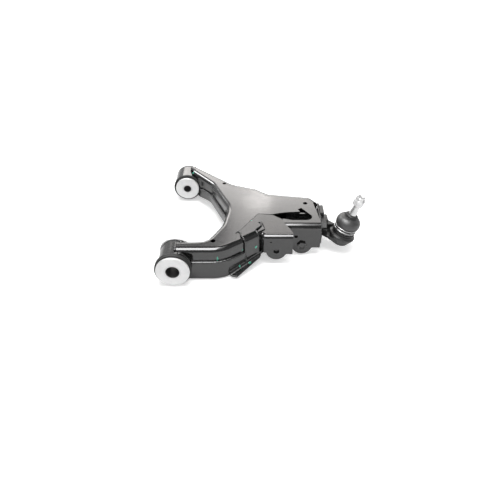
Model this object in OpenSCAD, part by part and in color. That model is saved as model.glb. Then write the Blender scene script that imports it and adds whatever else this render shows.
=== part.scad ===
// Lower control arm of an independent front suspension.
// Two rubber bushes carry the arm on its pivot axis, a pressed steel box spreads the load,
// and a forged ball joint at the outer end carries the steering knuckle.
// Millimetres. The origin is the centre of the rear bush, +Y runs along the pivot axis to the
// front bush, +X runs outboard to the ball joint and +Z is up.

/* [Pivot axis] */
// Distance between the two bush centres
bush_spacing = 330; // [310:1:350]
// Outer diameter of the rear eye tube
rear_tube_od = 66; // [64:0.5:67]
// Outer diameter of the front eye tube
front_tube_od = 64.5; // [60:0.5:66]
// Length of both eye tubes
tube_len = 46; // [42:1:48]
// Wall of both eye tubes
tube_wall = 4.5; // [3.5:0.5:6]

/* [Bushes] */
// Bore of the rear bush sleeve
rear_bore = 28; // [24:0.5:30]
// Bore of the front bush sleeve
front_bore = 18; // [14:0.5:20]
// Wall of both bush sleeves
sleeve_wall = 4; // [3:0.5:5]
// Length of the rear bush over its washers
rear_bush_len = 74; // [72:1:80]
// Length of the front bush over its washers
front_bush_len = 68; // [66:1:74]
// Outer diameter of the rear end washers
rear_washer_od = 70; // [64:0.5:76]
// Outer diameter of the front end washers
front_washer_od = 57.5; // [52:0.5:66]
// Thickness of all four end washers
washer_t = 5; // [3:0.5:6]
// Outer diameter of the rear rubber flanges
rear_flange_od = 76; // [72:0.5:80]
// Outer diameter of the front rubber flanges
front_flange_od = 67; // [66:0.5:72]
// Wall of the steel shell round each rubber
shell_wall = 1.5; // [1:0.5:2.5]

/* [Pressings] */
// Height of the roof above the pivot axis
roof_z = 38; // [37.5:0.5:42]
// Thickness of the pressed sheet
sheet_t = 3.5; // [2.5:0.5:4]
// Outer bend radius between the roof and its walls
roof_r = 11; // [8:0.5:12]
// Height of the lap between the upper and the lower pressing
lap_z = 6; // [2:1:12]
// How far the walls of the two pressings overlap
lap_len = 10; // [6:1:14]
// Depth of the underside below the pivot axis along the rear leg
keel_z = 35; // [32:0.5:36]
// Depth of the underside below the pivot axis along the front leg
belly_z = 14; // [12:0.5:18]
// Distance from the open outer end of the pressings to the ball centre
neck_len = 50; // [46:1:54]
// Width of the box at its open outer end, along the pivot axis
end_w = 92; // [88:1:98]
// Place of the wall behind the shock absorber, measured from the rear bush
wall_y = 79; // [76:0.5:82]

/* [Shock absorber seat] */
// Distance from the shock absorber bolt to the open outer end of the pressings
shock_inset = 40; // [38:1:44]
// Height of the shock absorber bolt above the pivot axis
shock_z = -14; // [-16:0.5:-10]
// Diameter of the shock absorber bolt hole
shock_bore = 12.5; // [10:0.5:14.5]
// Gap between the two walls that hold the shock absorber eye
shock_gap = 46; // [42:1:50]
// Thickness of the two shock absorber walls
ear_t = 4; // [3:0.5:5]
// Radius of the rounded lobe round the shock absorber bolt
ear_r = 22; // [18:0.5:23]
// Size of the shock absorber weld nut across its flats
shock_nut_af = 19; // [17:0.5:22]

/* [Link bracket] */
// Distance of the bracket's face from the rear bush along the pivot axis
bracket_y = 40; // [38:0.5:42]
// Distance from the pivot axis to the bracket's inboard side
bracket_x = 178; // [174:1:182]
// Width of the bracket's face
bracket_w = 71; // [66:1:74]
// Distance from the bracket's inboard side to the link bolt
link_inset = 36; // [34:1:38]
// Height of the link bolt above the pivot axis
link_z = -4; // [-8:0.5:0]
// Diameter of the link bolt hole
link_bore = 12.5; // [10:0.5:14]
// Radius of the rounded lobe round the link bolt
link_r = 22; // [18:0.5:23]

/* [Ball joint] */
// Distance from the pivot axis to the ball centre
ball_x = 362; // [358:1:368]
// Distance of the ball centre from the rear bush along the pivot axis
ball_y = 99; // [96:1:104]
// Height of the ball centre above the pivot axis
ball_z = 0; // [-2:0.5:4]
// Outboard lean of the ball joint axis in degrees
ball_lean = 19; // [12:1:24]
// Diameter of the ball
ball_d = 26; // [24:0.5:27]
// Outer diameter of the ball joint housing
housing_d = 59; // [57:0.5:61]
// Largest diameter of the rubber boot
boot_d = 54; // [52:0.5:56]
// Diameter of the stud's thread
stud_d = 14; // [12:0.5:15]
// Size of the castle nut across its flats
nut_af = 22; // [20:0.5:24]
// Height of the castle nut
nut_h = 20; // [18:0.5:22]

/* [Hidden] */
$fn = 96;

// Gap left between plates that are welded together
weld_gap = 0.3;
// Running clearance round a turning piece
run_gap = 0.06;
// Clearance between a turning piece and the rubber beside it
rub_gap = 0.4;
// Extra size of each bend piece, so that straight pieces end inside it
knit = 0.12;
knit_len = 0.5;
// Flat strip beside each bend, which the plate next to it overlaps
strip = 3;
// Longer than any piece, for cuts that go right through
through = 500;

end_x = ball_x - neck_len;
shock_x = end_x - shock_inset;
link_x = bracket_x + link_inset;
rear_c = [0, 0, 0];
front_c = [0, bush_spacing, 0];
end_y = wall_y + end_w;
skin = sheet_t + weld_gap;

// Paths run with the arm on their left and hold [x, y, bend radius]
near_knee = [101, -10, 70];
near_elbow = [bracket_x + 37, wall_y, 30];
near_path = [[6, -10, 0], near_knee, near_elbow, [end_x, wall_y, 0]];
far_path = [
    [end_x, end_y + 5, 0],
    [end_x - 14, end_y + 26, 18],
    [end_x - 111, end_y + 41.5, 18],
    [end_x - 139, bush_spacing - 94.5, 18],
    [116, bush_spacing - 72, 40],
    [20, bush_spacing + 18, 0]
];
crook_path = [
    [12, bush_spacing - 12, 0],
    [64, bush_spacing - 74, 60],
    [107, 150, 70],
    [97, 84, 60],
    [66, 23, 28],
    [6, 22, 0]
];

function heading(p, q) = atan2(q.y - p.y, q.x - p.x);
function wrap(a) = a > 180 ? a - 360 : a < -180 ? a + 360 : a;
function turn(path, i) = wrap(heading(path[i], path[i + 1]) - heading(path[i - 1], path[i]));
function is_bend(path, i) = i > 0 && i < len(path) - 1;
function trim(path, i) = is_bend(path, i) ? path[i].z * tan(abs(turn(path, i)) / 2) : 0;
function flat2(p) = [p.x, p.y];
function along(a, d) = d * [cos(a), sin(a)];
function left(a, d) = d * [-sin(a), cos(a)];

// Points of a path moved d to the left, with each bend as a row of short chords
function bend_points(path, i, d, steps) =
    let(
        a = heading(path[i - 1], path[i]),
        b = turn(path, i),
        s = sign(b),
        start = flat2(path[i]) - along(a, trim(path, i)),
        c = start + left(a, s * path[i].z)
    )
    [for (k = [0.5:steps]) c - left(a + b * k / steps, s * (path[i].z - s * d))];
function path_points(path, d, steps = 8) =
    let(
        n = len(path) - 1,
        a0 = heading(path[0], path[1]),
        a1 = heading(path[n - 1], path[n])
    )
    concat(
        [flat2(path[0]) + left(a0, d)],
        [for (i = [1:n - 1]) each bend_points(path, i, d, steps)],
        [flat2(path[n]) + left(a1, d)]
    );
function arm_outline(d) = concat(
    path_points(near_path, d), path_points(far_path, d), path_points(crook_path, d)
);

// A place along the slanting wall between the rear leg and the shock absorber seat
slant = heading(near_knee, near_elbow);
function on_slant(f) = flat2(near_knee) + f * (flat2(near_elbow) - flat2(near_knee));

// Carries a section along a path: its x is the distance to the left and its y is the height
module sweep(path) {
    n = len(path) - 1;
    for (i = [0:n - 1]) {
        a = heading(path[i], path[i + 1]);
        lead = i > 0 ? knit_len : 0;
        tail = i < n - 1 ? knit_len : 0;
        start = flat2(path[i]) + along(a, trim(path, i) - lead);
        span = norm(flat2(path[i + 1]) - flat2(path[i])) - trim(path, i) - trim(path, i + 1);
        translate([start.x, start.y, 0])
            rotate([90, 0, a + 90])
                linear_extrude(span + lead + tail)
                    let($grow = 0) children();
    }
    for (i = [1:1:n - 1]) {
        a = heading(path[i - 1], path[i]);
        b = turn(path, i);
        s = sign(b);
        start = flat2(path[i]) - along(a, trim(path, i));
        c = start + left(a, s * path[i].z);
        translate([c.x, c.y, 0])
            rotate([0, 0, s > 0 ? a - 90 : a + 90 + b])
                rotate_extrude(angle = abs(b))
                    translate([path[i].z, 0])
                        mirror([s > 0 ? 1 : 0, 0])
                            let($grow = knit) children();
    }
}

// Roof strip, bend and wall of a pressing, with the wall's outer face at x = 0
module bend_section(top, foot, r) {
    g = $grow;
    translate([-g, foot - g])
        square([sheet_t + 2 * g, top - r - foot + g]);
    translate([r, top - sheet_t - g])
        square([strip + g, sheet_t + 2 * g]);
    intersection() {
        translate([r, top - r])
            difference() {
                circle(r + g);
                circle(r - sheet_t - g);
            }
        translate([-g, top - r])
            square([r + g, r + g]);
    }
}

// Plain wall outside the upper pressing's wall
module skirt_section(top, foot) {
    g = $grow;
    translate([-skin - g, foot - g])
        square([sheet_t + 2 * g, top - foot + 2 * g]);
}

// A cylinder along Y, centred
module y_bar(d, h)
    rotate([90, 0, 0])
        cylinder(d = d, h = h, center = true);

// A flat outline of x and z, made into a plate whose rear face is at y
module plate_xz(y, t)
    translate([0, y + t, 0])
        rotate([90, 0, 0])
            linear_extrude(t)
                children();

// The hollow fillets of radius b between a round lobe and the straight edge z = line above it
module lobe_sides(x, z, r, line, b) {
    drop = line - b - z;
    reach = sqrt(pow(r + b, 2) - pow(drop, 2));
    k = 0.9 * r / (r + b);
    difference() {
        polygon([
            [x - reach, line + b], [x + reach, line + b], [x + reach, line],
            [x + k * reach, z + k * drop], [x - k * reach, z + k * drop], [x - reach, line]
        ]);
        for (s = [-1, 1])
            translate([x + s * reach, line - b])
                circle(b + knit);
    }
}

// Everything below the underside, which slopes up from the deep rear leg to the shallow middle
// and dips again towards the front eye
ramp_from = 60;
ramp_to = 165;
ramp_dir = 53;
ramp_a = atan((keel_z - belly_z) / (ramp_to - ramp_from));
dip_from = bush_spacing - 68;
dip_a = 10.5;
module under(lift) {
    translate([-through, -through, -through - keel_z + lift])
        cube([2 * through, 2 * through, through]);
    intersection() {
        translate([-through, -through, -through - belly_z + lift])
            cube([2 * through, 2 * through, through]);
        rotate([0, 0, ramp_dir])
            translate([ramp_from, -through, -keel_z + lift])
                rotate([0, -ramp_a, 0])
                    translate([-through / 2, 0, -through])
                        cube([2 * through, 2 * through, through]);
        translate([0, dip_from, -belly_z + lift])
            rotate([-dip_a, 0, 0])
                translate([-through, -through, -through])
                    cube([2 * through, 2 * through, through]);
    }
}

module eye_space(c, tube_od, flange_od) {
    translate(c)
        y_bar(tube_od + 2 * weld_gap, 2 * tube_len);
    for (s = [-1, 1])
        translate(c + [0, s * (tube_len - weld_gap), 0])
            y_bar(flange_od + 2 * weld_gap, tube_len);
}
module eye_spaces() {
    eye_space(rear_c, rear_tube_od, rear_flange_od);
    eye_space(front_c, front_tube_od, front_flange_od);
}

// Slot in the roof through which the shock absorber enters
slot_y = wall_y + 18.5;
slot_r = 13.5;
slot_tip = [shock_x - 66, slot_y + 23];
module shock_slot() {
    translate([shock_x, slot_y])
        polygon([
            [-66, 23], [-44, 6.5], [-23, 0], [9, 0], [19.5, 22], [1, 49.5], [-7, 43.5],
            [-3, 34], [-29, 32], [-51, 28]
        ]);
    translate([shock_x + 9, slot_y + slot_r])
        circle(slot_r);
}

// Flat facet pressed into the roof beside the link bracket, sloping down from a crease
crease_a = [133, 57.6];
crease_b = [bracket_x - 2.7, 124.2];
facet_slope = 1.8;
module roof_facet()
    intersection() {
        translate([0, 0, roof_z - roof_r])
            linear_extrude(through)
                polygon([
                    crease_a, crease_b, [slot_tip.x - 6, 122], slot_tip, slot_tip + [24, -18],
                    [near_elbow.x, wall_y - 14], on_slant(0.5) - left(slant, 20), on_slant(0.2)
                ]);
        translate([crease_a.x, crease_a.y, roof_z])
            rotate([0, 0, heading(crease_a, crease_b)])
                rotate([facet_slope, 0, 0])
                    translate([-through, -through, 0])
                        cube([2 * through, 2 * through, through]);
    }

hole_d = 8;
roof_holes = [[80.5, 20, 11], [95.3, bush_spacing - 73, 9], [end_x - 28.5, end_y - 4.5, 10]];

module upper_pressing() color("#4b4b49")
    difference() {
        union() {
            sweep(near_path) bend_section(roof_z, lap_z - lap_len, roof_r);
            sweep(far_path) bend_section(roof_z, lap_z - lap_len, roof_r);
            sweep(crook_path) bend_section(roof_z, lap_z - lap_len, roof_r);
            translate([0, 0, roof_z - sheet_t - knit / 2])
                linear_extrude(sheet_t)
                    polygon(arm_outline(roof_r + strip / 2));
        }
        eye_spaces();
        linear_extrude(through)
            shock_slot();
        roof_facet();
        for (h = roof_holes)
            translate([h.x, h.y, 0])
                cylinder(d = h.z, h = through);
        shock_bolt_space(shock_bore + 4);
    }

module shock_bolt_space(d)
    translate([shock_x, wall_y, shock_z])
        y_bar(d, through);

// Inboard edge of the shock absorber's rear wall, behind the link bracket
ear_x0 = near_elbow.x + 12;

// The lower pressing is a tray whose walls stand outside the upper pressing's walls
skirt_end = 0.72;
step_from = 0.39;
pocket_x0 = shock_x - 40;
pocket_x1 = shock_x + 34;
module lower_pressing() color("#3a3a39")
    difference() {
        union() {
            difference() {
                union() {
                    sweep([near_path[0], near_knee, concat(on_slant(skirt_end), [0])])
                        skirt_section(lap_z, -2 * keel_z);
                    sweep(far_path) skirt_section(lap_z, -2 * keel_z);
                    sweep(crook_path) skirt_section(lap_z, -2 * keel_z);
                }
                under(0);
            }
            intersection() {
                translate([0, 0, -2 * keel_z])
                    linear_extrude(4 * keel_z)
                        polygon(arm_outline(-weld_gap - sheet_t / 2));
                difference() {
                    under(sheet_t);
                    under(0);
                }
            }
        }
        eye_spaces();
        translate([end_x, -through, -through])
            cube(2 * through);
        translate([pocket_x0, wall_y - skin, -2 * keel_z])
            cube([pocket_x1 - pocket_x0, shock_gap + 2 * skin + ear_t, 4 * keel_z]);
        translate([ear_x0 - 2, wall_y - 2 * skin, -2 * keel_z])
            cube([through, 2 * skin, 4 * keel_z]);
        step = on_slant(step_from);
        translate([step.x, step.y, -belly_z + sheet_t])
            rotate([0, 0, slant])
                translate([0, -through / 10, 0])
                    cube([through / 5, through / 10, through]);
    }

// Folded bracket for the stabiliser link, with a cap that slopes up onto the roof
cap_z = 36;
cap_slope = 8;
bracket_bend = 10;
bracket_corner = 15;
bracket_depth = 26;
bracket_foot = -8;
face_foot = -12;
lobe_blend = 6;
bracket_path = [
    [bracket_x, bracket_y + bracket_depth, 0],
    [bracket_x, bracket_y, bracket_corner],
    [bracket_x + bracket_w, bracket_y, 0]
];
module link_bracket() color("#444443")
    difference() {
        union() {
            sweep(bracket_path) bend_section(cap_z, bracket_foot, bracket_bend);
            bracket_face();
            bracket_cap();
        }
        arm_space();
        translate([link_x, bracket_y, link_z])
            y_bar(link_bore, 4 * sheet_t);
        translate([link_x - 12, bracket_y, link_z + 24])
            y_bar(hole_d / 2, 4 * sheet_t);
    }
module face_window()
    translate([bracket_x + bracket_corner, -through / 2])
        square([bracket_w - bracket_corner, through]);
module bracket_face() {
    plate_xz(bracket_y, sheet_t)
        translate([bracket_x + bracket_corner, face_foot])
            square([bracket_w - bracket_corner, bracket_foot - face_foot + 8]);
    plate_xz(bracket_y, sheet_t)
        intersection() {
            translate([link_x, link_z])
                circle(link_r);
            face_window();
        }
    plate_xz(bracket_y, sheet_t)
        intersection() {
            lobe_sides(link_x, link_z, link_r, face_foot, lobe_blend);
            face_window();
        }
}
module bracket_cap() {
    inner = bracket_bend + strip / 2;
    edge_x = bracket_x + bracket_w;
    intersection() {
        linear_extrude(through)
            polygon([
                [bracket_x + inner, bracket_y + inner], [edge_x, bracket_y + inner],
                [edge_x - 6, bracket_y + 24], [edge_x - 19, bracket_y + 46],
                [edge_x - 23, bracket_y + 54], [bracket_x + 6, bracket_y + 45],
                [bracket_x + inner, bracket_y + bracket_depth]
            ]);
        translate([0, bracket_y + bracket_bend, cap_z])
            rotate([cap_slope, 0, 0])
                translate([0, -strip, -sheet_t])
                    cube([through, through, sheet_t]);
    }
}
// Room for the arm's wall and the bend above it
bend_rise = 6.6;
facet_drop = 0.8;
module arm_space() {
    translate([0, 0, -through])
        linear_extrude(through + roof_z - roof_r + bend_rise)
            polygon(arm_outline(-weld_gap));
    translate([0, 0, -through])
        linear_extrude(through + roof_z - facet_drop)
            polygon(arm_outline(1.8));
    translate([near_elbow.x, wall_y + roof_r / 2, 0])
        cube([through, through, roof_z + weld_gap]);
}

// Plate folded over the edge of the roof beside the bracket
wrap_from = 0.40;
wrap_to = 0.64;
wrap_foot = -10;
module gusset_plate() color("#474745")
    sweep([concat(on_slant(wrap_from), [0]), concat(on_slant(wrap_to), [0])])
        translate([-skin, 0])
            bend_section(roof_z + skin, wrap_foot, roof_r + skin);

nut_bore_gap = 0.2;
module link_weld_nut() color("#5d5d5b")
    translate([link_x, bracket_y + sheet_t + weld_gap, link_z])
        rotate([-90, 0, 0])
            difference() {
                cylinder(d = 1.6 * link_bore, h = 0.7 * link_bore);
                translate([0, 0, -1])
                    cylinder(d = link_bore, h = link_bore + 2);
            }

// Lip along the bottom edge of the slanting wall
lip_w = 19;
lip_end_w = 9;
lip_from = 0.1;
lip_to = 0.66;
lip_round = 0.04;
function lip_point(f, w) = on_slant(f) - left(slant, skin + w);
module edge_flange() color("#505050")
    intersection() {
        translate([0, 0, -2 * keel_z])
            linear_extrude(4 * keel_z)
                polygon([
                    lip_point(lip_from, weld_gap), lip_point(lip_from, lip_w / 2),
                    lip_point(lip_from + lip_round, lip_w),
                    lip_point(lip_to - lip_round, lip_end_w),
                    lip_point(lip_to, lip_end_w / 2), lip_point(lip_to, weld_gap)
                ]);
        difference() {
            under(sheet_t);
            under(0);
        }
    }

// The two walls that hold the shock absorber's bolt
ear_foot = -20;
ear_blend = 6;
wall_top = roof_z - 8;
ear_hole = [-14, 24];
ear_wing = [34, 26];
module ear(y, x0, x1, top)
    difference() {
        union() {
            plate_xz(y, ear_t)
                translate([x0, ear_foot])
                    square([x1 - x0, top - ear_foot]);
            plate_xz(y, ear_t)
                translate([shock_x, shock_z])
                    circle(ear_r);
            plate_xz(y, ear_t)
                lobe_sides(shock_x, shock_z, ear_r, ear_foot, ear_blend);
        }
        shock_bolt_space(shock_bore);
    }
module shock_rear_wall() color("#4a4a48")
    difference() {
        ear(wall_y - weld_gap - ear_t, ear_x0, end_x, wall_top);
        translate([shock_x + ear_hole.x, wall_y, shock_z + ear_hole.y])
            y_bar(hole_d, 6 * ear_t);
    }
module shock_front_wall() color("#2f2f2e")
    ear(
        wall_y + sheet_t + shock_gap, shock_x - ear_wing.x, shock_x + ear_wing.y,
        roof_z - sheet_t - weld_gap
    );

shock_nut_h = 5;
module shock_weld_nut() color("#585856")
    translate([shock_x, wall_y - 2 * weld_gap - ear_t - shock_nut_h, shock_z])
        rotate([-90, 0, 0])
            difference() {
                rotate([0, 0, 12])
                    cylinder(d = shock_nut_af / cos(30), h = shock_nut_h, $fn = 6);
                translate([0, 0, -1])
                    cylinder(d = shock_bore, h = shock_nut_h + 2);
            }

// Bush pieces, shared by the rear and the front bush
module tube_y(c, od, id, h)
    translate(c)
        difference() {
            y_bar(od, h);
            y_bar(id, h + 2);
        }
function shell_od(tube_od) = tube_od - 2 * tube_wall;
function sleeve_od(bore) = bore + 2 * sleeve_wall;
flange_groove = 1.2;
module rubber(c, tube_od, bore, flange_od, bush_len) {
    inner = sleeve_od(bore) / 2 + run_gap;
    outer = shell_od(tube_od) / 2 - shell_wall;
    far_r = tube_od / 2 - weld_gap;
    z0 = tube_len / 2 + weld_gap;
    z1 = bush_len / 2 - washer_t - rub_gap;
    translate(c)
        rotate([90, 0, 0])
            rotate_extrude()
                difference() {
                    polygon([
                        [inner, -z1], [far_r, -z1], [far_r, -z0], [outer, -z0],
                        [outer, z0], [flange_od / 2, z0], [flange_od / 2, z1], [inner, z1]
                    ]);
                    translate([flange_od / 2, (z0 + z1) / 2])
                        circle(flange_groove, $fn = 24);
                }
}
washer_edge = 0.8;
module washers(c, bore, od, bush_len)
    for (s = [-1, 1])
        translate(c + [0, s * (bush_len - washer_t) / 2, 0])
            rotate([90, 0, 0])
                rotate_extrude()
                    polygon([
                        [sleeve_od(bore) / 2 + run_gap, -washer_t / 2],
                        [od / 2 - washer_edge, -washer_t / 2],
                        [od / 2, -washer_t / 2 + washer_edge],
                        [od / 2, washer_t / 2 - washer_edge],
                        [od / 2 - washer_edge, washer_t / 2],
                        [sleeve_od(bore) / 2 + run_gap, washer_t / 2]
                    ]);

module rear_eye_tube() color("#4a4a4a")
    tube_y(rear_c, rear_tube_od, shell_od(rear_tube_od), tube_len);
module front_eye_tube() color("#4a4a4a")
    tube_y(front_c, front_tube_od, shell_od(front_tube_od), tube_len);
module rear_bush_shell() color("#6a6a6a")
    tube_y(rear_c, shell_od(rear_tube_od), shell_od(rear_tube_od) - 2 * shell_wall, tube_len);
module front_bush_shell() color("#6a6a6a")
    tube_y(front_c, shell_od(front_tube_od), shell_od(front_tube_od) - 2 * shell_wall, tube_len);
module rear_bush_rubber() color("#1d1d1d")
    rubber(rear_c, rear_tube_od, rear_bore, rear_flange_od, rear_bush_len);
module front_bush_rubber() color("#1d1d1d")
    rubber(front_c, front_tube_od, front_bore, front_flange_od, front_bush_len);
module rear_bush_sleeve() color("#b9bcbd")
    tube_y(rear_c, sleeve_od(rear_bore), rear_bore, rear_bush_len);
module front_bush_sleeve() color("#b9bcbd")
    tube_y(front_c, sleeve_od(front_bore), front_bore, front_bush_len);
module rear_washers() color("#dfe1e0")
    washers(rear_c, rear_bore, rear_washer_od, rear_bush_len);
module front_washers() color("#dfe1e0")
    washers(front_c, front_bore, front_washer_od, front_bush_len);

// Ball joint, measured along its own axis from the ball centre
module at_ball()
    translate([ball_x, ball_y, ball_z])
        rotate([0, ball_lean, 0])
            children();

ball_r = ball_d / 2;
housing_r = housing_d / 2;
boot_r = boot_d / 2;
seat_wall = 3;
seat_r = ball_r + seat_wall;
cover_r = seat_r + 0.8;
housing_top = 17;
housing_foot = -19.5;
foot_r = cover_r + 2.2;
cover_t = 3;
groove_z = 13;
groove_r = boot_r - 6.5;
lip_r = groove_r + 5;
mouth_r = ball_r + 1;
module housing_body()
    rotate_extrude()
        polygon([
            [0, housing_foot], [foot_r, housing_foot], [foot_r + 1.5, housing_foot + 1.5],
            [housing_r, -0.5], [housing_r, 2], [housing_r - 2, 3.5], [lip_r, 4.5], [lip_r, 6.5],
            [lip_r - 2, 7], [lip_r - 2, 8.5], [lip_r, 9], [lip_r, groove_z - 2],
            [groove_r, groove_z - 2], [groove_r, housing_top], [0, housing_top]
        ]);
module housing_cavity()
    rotate_extrude()
        polygon([
            [0, housing_foot - 1], [cover_r, housing_foot - 1], [cover_r, housing_foot + cover_t + 1],
            [seat_r, housing_foot + cover_t + 1], [seat_r, ball_r - 4], [mouth_r, ball_r - 1],
            [mouth_r + 3, housing_top + 1], [0, housing_top + 1]
        ]);

// Forged base that closes the box and carries the socket
base_x = end_x + weld_gap;
base_t = 19;
base_near = wall_y + 20;
base_far = end_y - 9;
base_foot = -2;
rim_t = 11.5;
rim_far = end_y + 3;
rim_top = roof_z - sheet_t - weld_gap;
neck_top = 14;
plug_len = 8;
valley_x = base_x + 15;
valley_floor = 1;
module base_plate(t)
    translate([base_x, 0, 0])
        rotate([90, 0, 90])
            linear_extrude(t)
                children();
module forged_base() {
    base_plate(base_t)
        polygon([
            [base_near, base_foot], [base_far, base_foot], [base_far, 9], [base_far - 9, 17],
            [base_far - 19, 23], [base_far - 34, 26], [base_near + 8, 25], [base_near, 17]
        ]);
    base_plate(rim_t)
        polygon([
            [base_far - 34, base_foot + 1], [rim_far - 6, base_foot + 1], [rim_far, 18],
            [rim_far - 1, 27], [rim_far - 7, rim_top - 1.5], [rim_far - 12, rim_top],
            [base_far - 30, rim_top]
        ]);
    translate([base_x - plug_len, base_near, lap_z - lap_len])
        cube([plug_len + 1, base_far - base_near - 8, roof_z - 2 * sheet_t - lap_z + lap_len]);
}
// The neck falls towards the socket and is as wide as the base at its root
module forged_neck()
    intersection() {
        translate([0, 0, -through])
            linear_extrude(2 * through)
                polygon([
                    [base_x + 1, base_near + 1], [ball_x - 22, ball_y - housing_r + 12],
                    [ball_x - 14, ball_y - housing_r + 7], [ball_x, ball_y],
                    [ball_x - 14, ball_y + housing_r - 7], [ball_x - 24, ball_y + housing_r + 2],
                    [base_x + 1, base_far - 1]
                ]);
        plate_xz(ball_y - housing_d, 2 * housing_d + end_w)
            polygon([
                [base_x, base_foot + 0.5], [base_x + 16, base_foot - 2], [ball_x - 22, -9],
                [ball_x, housing_foot + 4], [ball_x, neck_top - 1], [base_x, neck_top]
            ]);
    }
module ball_joint_forging() color("#3b3a39")
    difference() {
        union() {
            difference() {
                union() {
                    forged_base();
                    forged_neck();
                }
                translate([valley_x, ball_y - housing_d, valley_floor])
                    cube([ball_x - valley_x, housing_d + 19, housing_d]);
            }
            at_ball() housing_body();
        }
        at_ball() housing_cavity();
    }

module housing_cover() color("#6f7072")
    at_ball()
        translate([0, 0, housing_foot])
            rotate_extrude()
                polygon([
                    [0, -1.5], [cover_r - 6, -1.5], [cover_r - 3, 0], [cover_r - weld_gap, 0],
                    [cover_r - weld_gap, cover_t], [0, cover_t]
                ]);

disc_t = 2;
disc_foot = housing_foot + cover_t + weld_gap;
seat_foot = disc_foot + disc_t + run_gap;
seat_top = ball_r - 5.6;
seat_mouth_r = ball_r - 1.3;
module preload_disc() color("#8a8a88")
    at_ball()
        translate([0, 0, disc_foot])
            cylinder(r = seat_r - 1, h = disc_t);

module ball_seat() color("#d8d6cc")
    at_ball()
        difference() {
            translate([0, 0, seat_foot])
                cylinder(r = seat_r - run_gap, h = seat_top - seat_foot);
            sphere(r = ball_r + run_gap);
            cylinder(r = seat_mouth_r, h = 2 * ball_r);
        }

neck_r = stud_d / 2 + 1;
collar_z = 52;
taper_z0 = collar_z + 4;
nut_z = 80;
stud_end = nut_z + nut_h - 1;
taper_r = stud_d / 2 + 2;
module ball_stud() color("#c9cbcc")
    at_ball() {
        sphere(r = ball_r);
        rotate_extrude()
            polygon([
                [0, 0], [neck_r, 0], [neck_r, collar_z - 6], [taper_r, collar_z - 4],
                [taper_r, taper_z0], [stud_d / 2, nut_z - 2], [stud_d / 2, stud_end - 1.5],
                [stud_d / 2 - 1.5, stud_end], [0, stud_end]
            ]);
    }

boot_wall = 2.2;
boot_foot = groove_z - 1.5;
cuff_h = 11;
cuff_r = boot_r - 3.4;
belly_c = boot_foot + 18;
crown_c = taper_r + 4;
boot_top = collar_z - 2;
module boot() color("#232323")
    at_ball()
        rotate_extrude()
            polygon(concat(
                [[groove_r + rub_gap, boot_foot], [cuff_r, boot_foot], [cuff_r, boot_foot + cuff_h]],
                [for (a = [-15:15:75]) [
                    crown_c + (boot_r - crown_c) * cos(a),
                    belly_c + (boot_top - 1 - belly_c) * sin(a)
                ]],
                [
                    [crown_c + 1, boot_top], [taper_r + rub_gap, boot_top],
                    [taper_r + rub_gap, boot_top - boot_wall]
                ],
                [for (a = [75:-15:0]) [
                    crown_c + (boot_r - boot_wall - crown_c) * cos(a),
                    belly_c + (boot_top - 1 - boot_wall - belly_c) * sin(a)
                ]],
                [[groove_r + rub_gap, boot_foot + cuff_h]]
            ));

wire_r = 1.1;
module boot_rings() color("#c8c8c6")
    at_ball()
        for (z = [3, 7])
            translate([0, 0, boot_foot + z])
                rotate_extrude()
                    translate([cuff_r + weld_gap + wire_r, 0])
                        circle(wire_r, $fn = 24);

module boot_collar() color("#2c2c2c")
    at_ball()
        translate([0, 0, collar_z - 1.5])
            rotate_extrude()
                polygon([
                    [taper_r + run_gap, 0], [taper_r + 5, 0], [taper_r + 5, 2.5],
                    [taper_r + 3, 4.5], [taper_r + run_gap, 4.5]
                ]);

crown_h = 8;
slot_w = 4.5;
crown_r = nut_af / 2 - 0.6;
module castle_nut() color("#d5d7d6")
    at_ball()
        translate([0, 0, nut_z])
            difference() {
                union() {
                    intersection() {
                        cylinder(d = nut_af / cos(30), h = nut_h - crown_h, $fn = 6);
                        cylinder(r1 = nut_af / 2, r2 = nut_af / 2 + 30, h = 30);
                    }
                    translate([0, 0, 1])
                        cylinder(r = crown_r, h = nut_h - 1);
                }
                translate([0, 0, -1])
                    cylinder(d = stud_d + nut_bore_gap, h = nut_h + 2);
                for (a = [0:60:120])
                    rotate([0, 0, a])
                        translate([-nut_af, -slot_w / 2, nut_h - crown_h + 1])
                            cube([2 * nut_af, slot_w, nut_h]);
            }

upper_pressing();
lower_pressing();
link_bracket();
gusset_plate();
link_weld_nut();
edge_flange();
shock_rear_wall();
shock_front_wall();
shock_weld_nut();
rear_eye_tube();
front_eye_tube();
rear_bush_shell();
front_bush_shell();
rear_bush_rubber();
front_bush_rubber();
rear_bush_sleeve();
front_bush_sleeve();
rear_washers();
front_washers();
ball_joint_forging();
housing_cover();
preload_disc();
ball_seat();
ball_stud();
boot();
boot_rings();
boot_collar();
castle_nut();
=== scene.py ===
# %% [markdown]
# # A welded control arm in Blender
# The arm joins a car's frame to its wheel: two rubber bushes, a pressed steel box and a ball joint.
# The solids come from the CAD model, so this lesson only adds what pressing, welding, painting and
# moulding leave on them: weld beads, a rolled flange, a soft boot with its wires, and the finishes.

import math

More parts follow.
